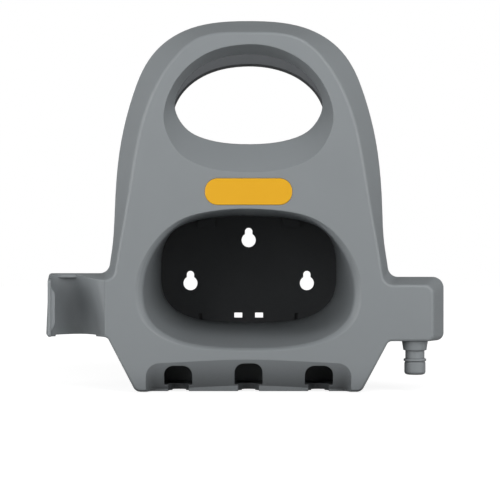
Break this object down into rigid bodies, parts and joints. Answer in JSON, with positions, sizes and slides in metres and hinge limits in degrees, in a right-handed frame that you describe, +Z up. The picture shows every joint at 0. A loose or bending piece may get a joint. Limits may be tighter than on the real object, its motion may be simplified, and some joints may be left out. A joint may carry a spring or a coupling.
{
  "type": "hose hanger",
  "caption": "Wall-mounted garden hose hanger: arched handle plates with a saddle for the coil between them, open storage bin, connector docks, gun cradle and parking spigot.",
  "frame": {"origin": "on the wall face of the bin's back wall, on the middle plane, between the keyholes", "axes": "+X to the right as seen from the front, +Y into the wall, +Z up"},
  "size_m": [0.3572, 0.1686, 0.3316],
  "materials": {
    "grey_moulding": "fine satin grain",
    "grey_moulding_rear": "fine satin grain",
    "badge_amber": "smooth"
  },
  "bodies": {
    "root": {"front_shell": "grey_moulding", "wall_frame": "grey_moulding_rear", "badge": "badge_amber"}
  },
  "joints": []
}
